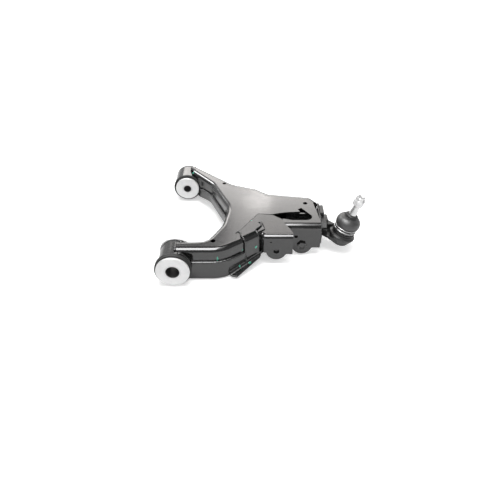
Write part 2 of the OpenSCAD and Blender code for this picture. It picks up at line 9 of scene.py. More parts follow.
import bpy
import numpy as np
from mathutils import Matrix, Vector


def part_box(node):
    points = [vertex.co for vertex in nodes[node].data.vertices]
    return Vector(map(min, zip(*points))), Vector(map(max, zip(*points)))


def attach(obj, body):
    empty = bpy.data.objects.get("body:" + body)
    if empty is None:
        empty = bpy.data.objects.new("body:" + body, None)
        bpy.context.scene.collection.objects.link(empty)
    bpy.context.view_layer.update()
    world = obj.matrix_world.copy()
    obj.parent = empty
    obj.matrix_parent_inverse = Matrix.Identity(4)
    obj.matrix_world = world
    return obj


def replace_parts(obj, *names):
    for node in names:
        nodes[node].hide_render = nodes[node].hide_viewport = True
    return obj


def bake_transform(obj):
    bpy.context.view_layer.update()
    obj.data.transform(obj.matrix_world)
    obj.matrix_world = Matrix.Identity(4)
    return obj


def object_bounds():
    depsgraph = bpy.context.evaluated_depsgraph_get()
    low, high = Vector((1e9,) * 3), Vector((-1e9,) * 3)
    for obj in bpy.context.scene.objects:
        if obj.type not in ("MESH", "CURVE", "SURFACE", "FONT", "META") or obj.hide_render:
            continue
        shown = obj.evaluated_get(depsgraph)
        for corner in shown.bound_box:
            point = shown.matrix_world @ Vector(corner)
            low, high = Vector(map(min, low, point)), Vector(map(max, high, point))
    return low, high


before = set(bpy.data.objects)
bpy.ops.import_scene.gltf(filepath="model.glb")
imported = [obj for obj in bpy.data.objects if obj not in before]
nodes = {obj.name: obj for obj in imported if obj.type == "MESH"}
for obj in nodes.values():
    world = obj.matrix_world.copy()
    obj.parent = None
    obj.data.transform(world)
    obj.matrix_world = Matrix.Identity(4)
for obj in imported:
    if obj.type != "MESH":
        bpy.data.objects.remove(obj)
cad_box = [list(corner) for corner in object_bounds()]
scene = bpy.context.scene
scene.view_settings.view_transform = "Standard"
MM = 0.001
print("solids:", len(nodes), "box:", np.round(cad_box, 4).tolist())

# %% [markdown]
# Every new piece is a grid of points: one parameter runs along the piece and one runs round it.
# A grid can become a mesh with a loop over faces, but whole arrays are quicker and shorter.
# The signed volume tells whether the faces point outwards, and the winding is turned if they don't.

# %% From a grid of points to a mesh


def grid_faces(rows, columns):
    """Quads between neighbouring points of a grid whose columns close into a ring."""
    i = np.arange(rows - 1)[:, None]
    j = np.arange(columns)[None, :]
    k = (j + 1) % columns
    quads = np.stack(
        [i * columns + j, i * columns + k, (i + 1) * columns + k, (i + 1) * columns + j], -1
    )
    return quads.reshape(-1, 4)


def closed_skin(name, grid, torus=False):
    """A closed mesh from a grid [rows, columns, 3]: each row is a ring, and both ends close at
    the mean of their ring. With torus the last row joins the first one instead."""
    rows, columns = grid.shape[:2]
    points = grid.reshape(-1, 3)
    if torus:
        quads = grid_faces(rows + 1, columns) % (rows * columns)
        faces = quads.tolist()
        triangles = np.concatenate([quads[:, [0, 1, 2]], quads[:, [0, 2, 3]]])
    else:
        quads = grid_faces(rows, columns)
        ring = np.arange(columns)
        after = (ring + 1) % columns
        top = (rows - 1) * columns
        first = np.full(columns, len(points))
        last = first + 1
        fans = np.concatenate(
            [np.stack([first, after, ring], -1), np.stack([last, ring + top, after + top], -1)]
        )
        points = np.concatenate([points, grid[0].mean(0)[None], grid[-1].mean(0)[None]])
        faces = quads.tolist() + fans.tolist()
        triangles = np.concatenate([quads[:, [0, 1, 2]], quads[:, [0, 2, 3]], fans])
    a, b, c = (points[triangles[:, n]] for n in range(3))
    if np.einsum("ij,ij->i", a, np.cross(b, c)).sum() < 0:
        faces = [face[::-1] for face in faces]
    mesh = bpy.data.meshes.new(name)
    mesh.from_pydata(points.tolist(), [], faces)
    mesh.polygons.foreach_set("use_smooth", np.ones(len(faces), bool))
    mesh.update()
    piece = bpy.data.objects.new(name, mesh)
    scene.collection.objects.link(piece)
    return piece


print("a grid of 3 rings with 4 points has", len(grid_faces(3, 4)), "quads")

# %% [markdown]
# The camera stands where the photographer stood. Its place and lens were worked out from the
# ellipses of the bushes and the known lengths of the arm, so the picture lines up point for point.

# %% Camera
LENS = 38.95
SENSOR = 36
LOOK_DOWN = 36.9
CAMERA_PLACE = (0.1575, -0.887, 0.6953)
camera_data = bpy.data.cameras.new("studio_camera")
camera_data.lens = LENS
camera_data.sensor_width = SENSOR
camera = bpy.data.objects.new("studio_camera", camera_data)
camera.location = CAMERA_PLACE
camera.rotation_euler = (math.radians(90 - LOOK_DOWN), 0, 0)
scene.collection.objects.link(camera)
scene.camera = camera
print("camera at", CAMERA_PLACE, "lens", LENS)

# %% [markdown]
# Gloss black paint shows almost nothing of its own: it shows the room. A broad strip overhead draws
# the bright lines along the bends, panels behind the arm grey its flat roof, and a small panel on
# the left lights the front leg. They show only in reflections. One more box overhead lights only
# the matt surfaces, so shine and shade can be set one by one.

# %% Lamps


def soft_box(name, place, target, size, radiance, seen_by="shine", colour=(1, 1, 1)):
    """An area lamp at a place, turned so that its face looks at the target. Its power is the
    radiance times its area times pi. A lamp seen by shine shows in reflections and lights no
    matt surface, and a lamp seen by matt does the opposite."""
    data = bpy.data.lights.new(name, "AREA")
    data.shape = "RECTANGLE"
    data.color = colour
    data.size, data.size_y = size
    data.energy = radiance * size[0] * size[1] * math.pi
    lamp = bpy.data.objects.new(name, data)
    scene.collection.objects.link(lamp)
    gaze = np.array(target) - np.array(place)
    flat = math.hypot(gaze[0], gaze[1])
    lamp.location = place
    lamp.rotation_euler = (math.atan2(flat, -gaze[2]), 0, math.atan2(-gaze[0], gaze[1]))
    lamp.visible_diffuse = seen_by == "matt"
    lamp.visible_glossy = seen_by == "shine"


HEART = (0.18, 0.15, 0.0)
OUTER = (0.375, 0.15, 0.0)
WARM = (1.0, 0.965, 0.94)
soft_box("overhead_box", (0.15, 0.0, 1.7), HEART, (1.3, 0.9), 6.0, seen_by="matt")
soft_box("strip_box", (-0.24, -0.54, 1.6), (-0.24, -0.2, 0.0), (1.32, 1.4), 10.5)
soft_box("strip_tail", (0.66, -0.54, 1.6), (0.66, -0.2, 0.0), (0.48, 1.4), 1.4)
soft_box("rear_panel", (0.375, 2.29, 1.64), OUTER, (0.75, 2.0), 1.7, colour=WARM)
soft_box("rear_glow", (0.375, 2.32, 1.02), OUTER, (0.75, 0.6), 2.0, colour=WARM)
soft_box("rear_wing", (-0.5, 2.32, 1.02), (-0.5, 0.15, 0.0), (1.0, 0.6), 4.2, colour=WARM)
soft_box("left_panel", (-1.336, 1.447, 1.636), (0.03, 0.3, 0.03), (0.76, 0.5), 14.0)
soft_box("rear_spot", (0.21, 2.2, 1.27), (0.18, 0.16, 0.04), (0.16, 0.12), 5.0, colour=WARM)
soft_box("rear_top", (0.375, 1.85, 2.10), OUTER, (0.75, 0.66), 1.2, colour=WARM)
print("lamps:", len(bpy.data.lights))

# %% [markdown]
# The room, the floor and every finish are node trees. Built node by node they run to pages, so
# these helpers each make one node, fill its sockets and give its output back. A value is either
# the output of another node or plain numbers, which go straight onto the socket.

# %% Helpers for node trees


def fill(tree, socket, value):
    """A socket linked to another node's output, or set to a number or a tuple of numbers."""
    if isinstance(value, (int, float, tuple)):
        socket.default_value = value
    else:
        tree.links.new(value, socket)


def math_node(tree, operation, *values):
    """One Math node."""
    node = tree.nodes.new("ShaderNodeMath")
    node.operation = operation
    for socket, value in zip(node.inputs, values):
        fill(tree, socket, value)
    return node.outputs[0]


def vector_math(tree, operation, *values):
    """One Vector Math node: a length is a number, and all other results are vectors."""
    node = tree.nodes.new("ShaderNodeVectorMath")
    node.operation = operation
    for socket, value in zip(node.inputs, values):
        fill(tree, socket, value)
    return node.outputs["Value" if operation == "LENGTH" else "Vector"]


def ranged(tree, value, low, high, to_low, to_high):
    """A value stretched from low..high to to_low..to_high and held at both ends."""
    node = tree.nodes.new("ShaderNodeMapRange")
    for socket, number in zip(node.inputs, (value, low, high, to_low, to_high)):
        fill(tree, socket, number)
    return node.outputs[0]


def mixed_number(tree, share, first, second):
    """Two numbers mixed by a share."""
    node = tree.nodes.new("ShaderNodeMix")
    for socket, value in (("Factor", share), ("A", first), ("B", second)):
        fill(tree, node.inputs[socket], value)
    return node.outputs["Result"]


print("node helpers ready")

# %% [markdown]
# The room is white for the camera and pale grey for matt surfaces. In reflections its ceiling is
# dark, the wall behind the arm is bright and the other walls are dim, as in a studio where only the
# backdrop is lit. A panorama picture could do this, but two ramps over the direction are enough,
# and each edge can be moved by one number.

# %% Room
ROOM_LEVEL = 0.55
BACKDROP_LEVEL = 0.8
CEILING_LEVEL = 0.08
CEILING_EDGE = (0.62, 0.82)
BACKDROP_EDGE = (0.1, 0.45)
SIDE_SHARE = 0.3
world = bpy.data.worlds.new("studio_room")
scene.world = world
world.use_nodes = True
room = world.node_tree
ray = room.nodes.new("ShaderNodeLightPath").outputs
direction = room.nodes.new("ShaderNodeSeparateXYZ")
room.links.new(room.nodes.new("ShaderNodeTexCoord").outputs["Generated"], direction.inputs[0])
wall_share = math_node(
    room,
    "MULTIPLY",
    ranged(room, direction.outputs["Z"], *CEILING_EDGE, 1.0, 0.0),
    ranged(room, direction.outputs["Y"], *BACKDROP_EDGE, SIDE_SHARE, 1.0),
)
reflected = mixed_number(room, wall_share, CEILING_LEVEL, BACKDROP_LEVEL)
lighting = mixed_number(room, ray["Is Glossy Ray"], ROOM_LEVEL, reflected)
seen = math_node(room, "MAXIMUM", ray["Is Camera Ray"], ray["Is Transmission Ray"])
strength = mixed_number(room, seen, lighting, 1.0)
room.links.new(strength, room.nodes["Background"].inputs["Strength"])
room.nodes["Background"].inputs["Color"].default_value = (1, 1, 1, 1)
print("room level", ROOM_LEVEL)

# %% [markdown]
# The floor is a plain pale sheet at the lowest point of the arm. It has to look white and still
# take a shadow, so the camera sees it brighter than it is, and more so far away where it gets less
# light. Reflections see it a little brighter as well.

# %% Floor
FLOOR_HALF = 12.0
FLOOR_GAP = 0.0005
FLOOR_TONE = 0.93
FLOOR_REACH = (0.8, 2.5)
FLOOR_LIFT = (0.5, 0.62)
SHINE_LIFT = 0.12
floor_z = cad_box[0][2] - FLOOR_GAP
floor_corners = ((-1, -1), (1, -1), (1, 1), (-1, 1))
floor_mesh = bpy.data.meshes.new("floor")
floor_mesh.from_pydata(
    [(x * FLOOR_HALF, y * FLOOR_HALF, floor_z) for x, y in floor_corners], [], [(0, 1, 2, 3)]
)
floor = bpy.data.objects.new("floor", floor_mesh)
scene.collection.objects.link(floor)
paper = bpy.data.materials.new("floor_paper")
paper.use_nodes = True
sheet = paper.node_tree
sheet_shader = sheet.nodes["Principled BSDF"]
sheet_shader.inputs["Base Color"].default_value = (FLOOR_TONE, FLOOR_TONE, FLOOR_TONE, 1)
sheet_shader.inputs["Roughness"].default_value = 0.9
sheet_shader.inputs["Specular IOR Level"].default_value = 0.0
sheet_shader.inputs["Emission Color"].default_value = (1, 1, 1, 1)
ray = sheet.nodes.new("ShaderNodeLightPath").outputs
away = vector_math(sheet, "LENGTH", sheet.nodes.new("ShaderNodeTexCoord").outputs["Object"])
camera_lift = ranged(sheet, away, *FLOOR_REACH, *FLOOR_LIFT)
glossy_lift = math_node(sheet, "MULTIPLY", ray["Is Glossy Ray"], SHINE_LIFT)
lift = math_node(sheet, "MULTIPLY_ADD", ray["Is Camera Ray"], camera_lift, glossy_lift)
sheet.links.new(lift, sheet_shader.inputs["Emission Strength"])
floor_mesh.materials.append(paper)
print("floor at", round(floor_z, 4))

# %% [markdown]
# A finish is a Principled shader with noise on it. Noise on Object coordinates stays on its piece
# when the piece moves; ramps turn it into colour, and a bump node turns it into fine relief.

# %% Helpers for finishes


def new_finish(name):
    """An empty Principled material, its node tree, its shader and its Object coordinates."""
    material = bpy.data.materials.new(name)
    material.use_nodes = True
    tree = material.node_tree
    place = tree.nodes.new("ShaderNodeTexCoord").outputs["Object"]
    return material, tree, tree.nodes["Principled BSDF"], place


def noise(tree, place, scale, detail=4.0, roughness=0.55):
    """Fractal noise between 0 and 1, with scale counted in cells per metre."""
    node = tree.nodes.new("ShaderNodeTexNoise")
    node.inputs["Scale"].default_value = scale
    node.inputs["Detail"].default_value = detail
    node.inputs["Roughness"].default_value = roughness
    tree.links.new(place, node.inputs["Vector"])
    return node.outputs["Fac"]


def toned(tree, value, *stops):
    """A colour ramp with two stops: each is a place and a grey level or a colour."""
    node = tree.nodes.new("ShaderNodeValToRGB")
    for element, (at, tone) in zip(node.color_ramp.elements, stops):
        element.position = at
        element.color = (*((tone,) * 3 if np.isscalar(tone) else tone), 1)
    tree.links.new(value, node.inputs[0])
    return node.outputs[0]


def mixed_colour(tree, share, first, second):
    """A colour mixed by a share with a second one that is given as three numbers."""
    node = tree.nodes.new("ShaderNodeMix")
    node.data_type = "RGBA"
    for socket, value in ((0, share), (6, first), (7, (*second, 1))):
        fill(tree, node.inputs[socket], value)
    return node.outputs[2]


def bumped(tree, shader, height, depth):
    """Bump whose full height is depth metres."""
    node = tree.nodes.new("ShaderNodeBump")
    node.inputs["Distance"].default_value = depth
    node.inputs["Strength"].default_value = 1.0
    tree.links.new(height, node.inputs["Height"])
    tree.links.new(node.outputs[0], shader.inputs["Normal"])


print("finish helpers ready")

# %% [markdown]
# A line worker dabs green paint on each joint that has been inspected. The dabs could be small
# meshes, but paint has no thickness to speak of, so the finish asks each point how far it is from
# a dab's centre. Noise shakes the points first, which makes the rims ragged.

# %% Inspection dabs
DAB_COLOUR = (0.05, 0.4, 0.27)
DAB_SHAKE = 0.004
SHAKE_SCALE = 180.0
DAB_RIM = (0.7, 1.0)
DABS = [
    ((0.0146, 0.3185, 0.0337), (0.0035, 0.0035, 0.0045), 0.9),
    ((0.0909, -0.0087, 0.0135), (0.0024, 0.0040, 0.0060), 0.8),
    ((0.1354, 0.0120, -0.0249), (0.0032, 0.0040, 0.0070), 0.9),
    ((0.1575, 0.0210, -0.0212), (0.0042, 0.0042, 0.0045), 0.8),
    ((0.1703, 0.0393, 0.0078), (0.0036, 0.0040, 0.0040), 0.95),
    ((0.1601, 0.0962, 0.0379), (0.0022, 0.0030, 0.0020), 0.4),
    ((0.1411, 0.0213, 0.0133), (0.0026, 0.0030, 0.0040), 0.3),
]


def dab_share(tree, place):
    """How far each point is covered. Each dab has a centre, half lengths and a cover: the distance
    from the centre, counted in half lengths, takes the cover down to 0 across the rim. Where dabs
    meet, the largest share counts."""
    jitter = tree.nodes.new("ShaderNodeTexNoise")
    jitter.inputs["Scale"].default_value = SHAKE_SCALE
    tree.links.new(place, jitter.inputs["Vector"])
    shaken = vector_math(tree, "MULTIPLY_ADD", jitter.outputs["Color"], (DAB_SHAKE,) * 3, place)
    share = 0.0
    for centre, half, cover in DABS:
        middle = tuple(c + DAB_SHAKE / 2 for c in centre)
        offset = vector_math(tree, "DIVIDE", vector_math(tree, "SUBTRACT", shaken, middle), half)
        covered = ranged(tree, vector_math(tree, "LENGTH", offset), *DAB_RIM, cover, 0.0)
        share = math_node(tree, "MAXIMUM", share, covered)
    return share


print("dabs:", len(DABS))

# %% [markdown]
# The whole welding is dipped in black paint and baked. The paint is glossy but not flat: it has a
# fine orange peel, faint streaks where it ran, and specks of dust that grey it. The forging has its
# own coarser coat, because its rough skin shows through. A painted image could hold all this, but
# noise needs no unwrapped mesh and never repeats.

# %% Black paint
DUST = (0.03, 0.029, 0.027)


def painted_black(name, dark, light, gloss, peel, marks=False, grain=0.0, shine=1.0):
    """Baked black paint. dark and light bound its tone, gloss bounds its roughness, peel is the
    height of the orange peel in metres and grain the height of the casting or forging under it,
    and shine is the specular level."""
    material, tree, shader, place = new_finish(name)
    shader.inputs["Specular IOR Level"].default_value = shine
    cloud = noise(tree, place, scale=14.0, detail=5.0)
    specks = noise(tree, place, scale=420.0, detail=6.0, roughness=0.7)
    tone = toned(tree, cloud, (0.3, dark), (0.72, light))
    tone = mixed_colour(tree, ranged(tree, specks, 0.6, 0.72, 0.0, 0.6), tone, DUST)
    if marks:
        tone = mixed_colour(tree, dab_share(tree, place), tone, DAB_COLOUR)
    tree.links.new(tone, shader.inputs["Base Color"])
    runs = math_node(tree, "MULTIPLY", noise(tree, place, scale=70.0), 0.5)
    streaks = math_node(tree, "ADD", cloud, runs)
    tree.links.new(ranged(tree, streaks, 0.55, 0.95, *gloss), shader.inputs["Roughness"])
    height = noise(tree, place, scale=900.0, detail=3.0)
    if grain:
        lumps = noise(tree, place, scale=260.0, detail=6.0, roughness=0.65)
        height = math_node(tree, "MULTIPLY_ADD", lumps, grain / peel, height)
    bumped(tree, shader, height, peel)
    return material


arm_paint = painted_black("black_coat", 0.004, 0.008, (0.12, 0.2), 4e-6, marks=True)
nut_paint = painted_black("coated_nut", 0.006, 0.014, (0.2, 0.32), 6e-6)
forged_paint = painted_black(
    "forged_black", 0.012, 0.024, (0.32, 0.44), 1e-5, grain=1.2e-4, shine=0.6
)
weld_paint = painted_black("weld_coat", 0.005, 0.012, (0.14, 0.24), 1e-5, grain=6e-5)
print("paints:", [m.name for m in (arm_paint, nut_paint, forged_paint, weld_paint)])

# %% [markdown]
# The bushes and the boot are moulded rubber: nearly black, satin, with a very fine grain and a pale
# bloom where the mould release has dried. One cloud of noise drives both tone and roughness, so the
# pale places are the dull ones too, as they are on real rubber.

# %% Rubber


def moulded_rubber(name, dark, bloom, rough, shine=0.5):
    """Satin rubber. dark and bloom bound its tone, rough bounds its roughness, and shine is its
    specular level."""
    material, tree, shader, place = new_finish(name)
    shader.inputs["Specular IOR Level"].default_value = shine
    cloud = noise(tree, place, scale=60.0, detail=6.0, roughness=0.6)
    tree.links.new(toned(tree, cloud, (0.35, dark), (0.75, bloom)), shader.inputs["Base Color"])
    tree.links.new(ranged(tree, cloud, 0.3, 0.7, *rough), shader.inputs["Roughness"])
    bumped(tree, shader, noise(tree, place, scale=1500.0, detail=3.0), 2e-5)
    return material


bush_rubber = moulded_rubber("bush_rubber", 0.014, 0.03, (0.5, 0.66))
boot_rubber = moulded_rubber("boot_rubber", 0.024, 0.04, (0.42, 0.5), shine=1.0)
print("rubbers:", [m.name for m in (bush_rubber, boot_rubber)])

# %% [markdown]
# The bare metal is turned steel and bright zinc. Turning leaves fine rings round each piece's own
# axis, so the distance from that axis drives a wave. Zinc is paler, with a soft cloudy grain.

# %% Steel and zinc
BALL = np.array([0.362, 0.099, 0.0])
LEAN = math.radians(19)
# Painted shade: the dark tone given to the sleeves' bore walls, standing for the shade deep in the
# bore.
BORE_SHADE = (0.07, 0.07, 0.07)
METAL_GRAIN = 1e-5
RING_SCALE = 500.0


def turning_marks(tree, place, leaning):
    """Rings about 0.6 mm apart, round the pivot axis or round the leaning stud's axis: a sine of
    the distance from the axis, which noise bends a little."""
    turned = tree.nodes.new("ShaderNodeMapping")
    turned.vector_type = "TEXTURE"
    if leaning:
        turned.inputs["Location"].default_value = tuple(BALL)
        turned.inputs["Rotation"].default_value = (0, LEAN, 0)
    else:
        turned.inputs["Rotation"].default_value = (math.radians(90), 0, 0)
    tree.links.new(place, turned.inputs["Vector"])
    wave = tree.nodes.new("ShaderNodeTexWave")
    wave.wave_type = "RINGS"
    wave.rings_direction = "Z"
    wave.inputs["Scale"].default_value = RING_SCALE
    wave.inputs["Distortion"].default_value = 1.5
    tree.links.new(turned.outputs[0], wave.inputs["Vector"])
    return wave.outputs["Fac"]


def bare_metal(name, dark, light, rough, rings=0.0, leaning=False, bare=1.0, bore=0.0):
    """Metal between two grey levels. rings is the height of the turning marks in metres, bare is
    how much of the metal shows through its passivated skin, and inside a bore of that radius
    about the pivot axis the wall is painted dark, as painted shade for the shade in the bore."""
    material, tree, shader, place = new_finish(name)
    shader.inputs["Metallic"].default_value = bare
    cloud = noise(tree, place, scale=120.0, detail=6.0, roughness=0.6)
    tone = toned(tree, cloud, (0.3, dark), (0.7, light))
    # Painted shade: near the bore's radius the tone turns dark, standing for the shade inside the
    # bore.
    if bore:
        spread = vector_math(tree, "LENGTH", vector_math(tree, "MULTIPLY", place, (1, 0, 1)))
        inside = ranged(tree, spread, bore + 0.2 * MM, bore + 0.6 * MM, 1.0, 0.0)
        tone = mixed_colour(tree, inside, tone, BORE_SHADE)
    tree.links.new(tone, shader.inputs["Base Color"])
    tree.links.new(ranged(tree, cloud, 0.3, 0.7, *rough), shader.inputs["Roughness"])
    height = noise(tree, place, scale=1200.0, detail=3.0)
    if rings:
        height = math_node(tree, "ADD", height, turning_marks(tree, place, leaning))
    bumped(tree, shader, height, max(rings, METAL_GRAIN))
    return material


SLEEVE_LOOK = dict(dark=0.68, light=0.78, rough=(0.4, 0.55), rings=1e-5, bare=0.25)
rear_steel = bare_metal("rear_sleeve_steel", bore=14 * MM, **SLEEVE_LOOK)
front_steel = bare_metal("front_sleeve_steel", bore=9 * MM, **SLEEVE_LOOK)
stud_steel = bare_metal("stud_steel", 0.56, 0.72, (0.12, 0.24), rings=1e-5, leaning=True)
zinc = bare_metal("bright_zinc", 0.78, 0.86, (0.4, 0.55), rings=1e-5, bare=0.25)
nut_zinc = bare_metal("nut_zinc", 0.72, 0.82, (0.34, 0.48), bare=0.4)
wire_steel = bare_metal("ring_wire", 0.55, 0.7, (0.24, 0.4))
metals = (rear_steel, front_steel, stud_steel, zinc, nut_zinc, wire_steel)
print("metals:", [m.name for m in metals])

# %% [markdown]
# Deep in the housing the ball runs in a seat of pale polymer. Nobody sees it until the joint is
# taken apart, but it gets its own cloudy finish all the same.

# %% Seat polymer
seat_polymer, seat_tree, seat_shader, seat_place = new_finish("seat_polymer")
seat_cloud = noise(seat_tree, seat_place, scale=80.0)
seat_tone = toned(seat_tree, seat_cloud, (0.3, (0.62, 0.6, 0.54)), (0.7, (0.7, 0.68, 0.62)))
seat_tree.links.new(seat_tone, seat_shader.inputs["Base Color"])
seat_shader.inputs["Roughness"].default_value = 0.4
print("polymer:", seat_polymer.name)

# %% [markdown]
# Each solid keeps its mesh and only gets a finish. A list of finishes with their solids is easier
# to read than a line for each of them.

# %% Finishes on the solids
FINISHES = [
    (arm_paint, "upper_pressing lower_pressing link_bracket edge_flange shock_rear_wall"),
    (arm_paint, "shock_front_wall rear_eye_tube front_eye_tube gusset_plate"),
    (nut_paint, "link_weld_nut shock_weld_nut rear_bush_shell front_bush_shell"),
    (forged_paint, "ball_joint_forging housing_cover preload_disc"),
    (bush_rubber, "rear_bush_rubber front_bush_rubber boot_collar"),
    (rear_steel, "rear_bush_sleeve"),
    (front_steel, "front_bush_sleeve"),
    (zinc, "rear_washers front_washers"),
    (boot_rubber, "boot"),
    (wire_steel, "boot_rings"),
    (stud_steel, "ball_stud"),
    (nut_zinc, "castle_nut"),
    (seat_polymer, "ball_seat"),
]
for finish, names in FINISHES:
    for name in names.split():
        nodes[name].data.materials.clear()
        nodes[name].data.materials.append(finish)
print("solids with a finish:", sum(len(names.split()) for _, names in FINISHES))

# %% [markdown]
# A forging has no sharp edges. Its solid's loose triangles are merged first, because a bevel needs
# faces that share their edges, and then every edge sharper than 35 degrees is rounded.

# %% Rounded edges of the forging
MERGE_REACH = 0.01 * MM
EDGE_ROUND = 1.6 * MM
EDGE_SEGMENTS = 3
SHARP_FROM = math.radians(35)
forging = nodes["ball_joint_forging"]
merge = forging.modifiers.new("merge", "WELD")
merge.merge_threshold = MERGE_REACH
edges = forging.modifiers.new("edges", "BEVEL")
edges.width = EDGE_ROUND
edges.segments = EDGE_SEGMENTS
edges.limit_method = "ANGLE"
edges.angle_limit = SHARP_FROM
edges.use_clamp_overlap = True
print("forging edges rounded by", round(EDGE_ROUND / MM, 1), "mm")

# %% [markdown]
# A weld bead is a row of frozen ripples laid along a joint. It could be sculpted, but a tube along
# a path does it with a formula: the radius swells once per ripple, and the ripple front lags
# behind at the sides of the bead, as the molten pool did.

# %% The bead's formula
BEAD_STEP = 0.5 * MM
BEAD_SIDES = 14
RIPPLE_PITCH = 2.6 * MM
RIPPLE_WANDER = 1.5
SWELL_RATES = (0.11, 0.23, 0.37, 0.61, 0.9)
SWELL_SHARE = 0.12
END_SHARE = 0.7
END_LEAST = 0.0004


def even_path(points):
    """The same polyline with points at even steps along its length, and the length at each."""
    reach = np.concatenate([[0], np.cumsum(np.linalg.norm(np.diff(points, axis=0), axis=1))])
    s = np.linspace(0, reach[-1], max(int(reach[-1] / BEAD_STEP), 8))
    return np.stack([np.interp(s, reach, points[:, n]) for n in range(3)], -1), s


def weld_bead(name, path, outward, width, seed, ripple=0.09):
    """A closed tube round a path in millimetres. Across the path it is a circle of half the width;
    its radius is width / 2 times (1 + ripple times a sine of the length, which lags at the sides,
    plus a slow random swell), and falls to nothing as a root at both ends. outward is the way the
    bead bulges, one vector or one for each point."""
    path = np.asarray(path, float) * MM
    width = width * MM
    centre, s = even_path(path)
    along = np.gradient(centre, axis=0)
    along /= np.linalg.norm(along, axis=1)[:, None]
    facing = np.broadcast_to(np.asarray(outward, float), path.shape)
    given, wanted = np.linspace(0, 1, len(path)), np.linspace(0, 1, len(s))
    up = np.stack([np.interp(wanted, given, facing[:, n]) for n in range(3)], -1)
    side = np.cross(along, up)
    side /= np.linalg.norm(side, axis=1)[:, None]
    up = np.cross(side, along)
    a = np.linspace(0, 2 * math.pi, BEAD_SIDES, endpoint=False)
    phase = np.random.default_rng(seed).uniform(0, 2 * math.pi, len(SWELL_RATES))
    swell = np.mean([np.sin(s / MM * k + p) for k, p in zip(SWELL_RATES, phase)], axis=0)
    lag = s[:, None] + 0.5 * width * (1 - np.sin(a))[None, :]
    wave = np.sin(2 * math.pi * lag / RIPPLE_PITCH + RIPPLE_WANDER * swell[:, None])
    end = np.sqrt(np.clip(np.minimum(s, s[-1] - s) / (END_SHARE * width), END_LEAST, 1))
    radius = 0.5 * width * end[:, None] * (1 + ripple * wave + SWELL_SHARE * swell[:, None])
    ring = np.cos(a)[None, :, None] * side[:, None] + np.sin(a)[None, :, None] * up[:, None]
    piece = closed_skin(name, centre[:, None] + radius[..., None] * ring)
    piece.data.materials.append(weld_paint)
    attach(piece, "arm")
    print(name, "length", round(s[-1] / MM, 1), "mm")


print("ripples on 10 mm of bead:", round(10 * MM / RIPPLE_PITCH, 1))

# %% [markdown]
# The pressings follow lines with rounded corners. The same corners and bend radii as in the solids
# give the seams: each corner is cut back to its tangent points and filled with an arc.

# %% Lines with rounded corners


def rounded_line(corners, offset, steps=14):
    """Points along corners [x, y, bend radius] in millimetres, moved by offset to the right.
    At a corner with turn t the arc starts radius times tan(t / 2) before it."""
    corners = np.asarray(corners, float)
    leg = np.diff(corners[:, :2], axis=0)
    heading = np.arctan2(leg[:, 1], leg[:, 0])
    turn = (np.diff(heading) + math.pi) % (2 * math.pi) - math.pi
    right = np.stack([np.sin(heading), -np.cos(heading)], -1)
    parts = [corners[:1, :2] + offset * right[:1]]
    for n, bend in enumerate(turn):
        radius = corners[n + 1, 2]
        unit = leg[n] / np.linalg.norm(leg[n])
        start = corners[n + 1, :2] - unit * radius * math.tan(abs(bend) / 2)
        centre = start - right[n] * radius * np.sign(bend)
        angle = heading[n] + bend * np.linspace(0, 1, steps)
        spoke = np.stack([np.sin(angle), -np.cos(angle)], -1)
        parts.append(centre + spoke * (radius * np.sign(bend) + offset))
    parts.append(corners[-1:, :2] + offset * right[-1:])
    return np.concatenate(parts)


NEAR = [[34, -10, 0], [101, -10, 70], [143, 22.8, 0]]
FAR = [
    [312, 176, 0], [298, 197, 18], [201, 212.5, 18],
    [173, 235.5, 18], [116, 258, 40], [42, 327.4, 0],
]
CROOK = [
    [40, 284.6, 0], [64, 256, 60], [107, 150, 70],
    [97, 84, 60], [66, 23, 28], [36, 22.5, 0],
]
print("corners of the seams:", len(NEAR), len(FAR), len(CROOK))

# %% [markdown]
# The lower tray laps over the upper pressing all the way round, and a long bead closes the lap. Its
# path is the pressing's own outline moved outwards, so the bead can't drift off the joint.

# %% Lap seams
LAP_HEIGHT = 5.6
LAP_OFFSET = 2.0
LAP_SEAMS = [("near", NEAR, 6.4), ("far", FAR, 5.0), ("crook", CROOK, 5.0)]
for seed, (side, corners, width) in enumerate(LAP_SEAMS):
    line = rounded_line(corners, LAP_OFFSET)
    seam = np.column_stack([line, np.full(len(line), LAP_HEIGHT)])
    weld_bead("lap_weld_" + side, seam, (0, 0, 1), width, seed, ripple=0.05)

# %% [markdown]
# The box is welded to each eye tube where its walls and roof run into the round tube. In a plane
# across the rear tube's axis that joint is an arc, and over the roof it is a straight line. On the
# front tube the roof ends askew, and the bead follows its edge and closes the box.

# %% Eye welds
EYE_RADIUS = 34
EYE_POINTS = 60


def rear_eye_arc(y, start=74, stop=-62):
    """An arc round the pivot axis at one place y: angles in degrees from +X towards +Z."""
    a = np.radians(np.linspace(start, stop, EYE_POINTS))
    return np.column_stack([EYE_RADIUS * np.cos(a), np.full(EYE_POINTS, y), EYE_RADIUS * np.sin(a)])


REAR_ROOF_END = np.linspace((4.5, -9, 35.2), (4.5, 21, 35.2), 24)
FRONT_ROOF_END = [
    [17.0, 323.0, 33.6], [20.2, 325.8, 34.2], [17.2, 330.0, 34.6], [12.4, 335.5, 34.6],
    [10.2, 338.8, 34.3], [13.5, 342.5, 33.2], [17.5, 346.0, 30.5], [20.5, 348.5, 27.0],
]
weld_bead("rear_eye_weld_near", rear_eye_arc(-14.4), (0.4, -1, 0), width=6, seed=11)
weld_bead("rear_eye_weld_crook", rear_eye_arc(26.4), (0.4, 1, 0), width=6, seed=12)
weld_bead("rear_eye_weld_roof", REAR_ROOF_END, (-0.4, 0, 1), width=6, seed=13)
weld_bead("front_eye_weld_roof", FRONT_ROOF_END, (-0.6, 0, 0.8), width=7.5, seed=14)

# %% [markdown]
# A folded plate stiffens the slanting wall beside the link bracket. It is welded all round: the
# beads run up the wall, over the bend and onto the roof, where each one ends in a hook. The path is
# worked out from the plate's own bend, so the bead lies on its edge all the way.

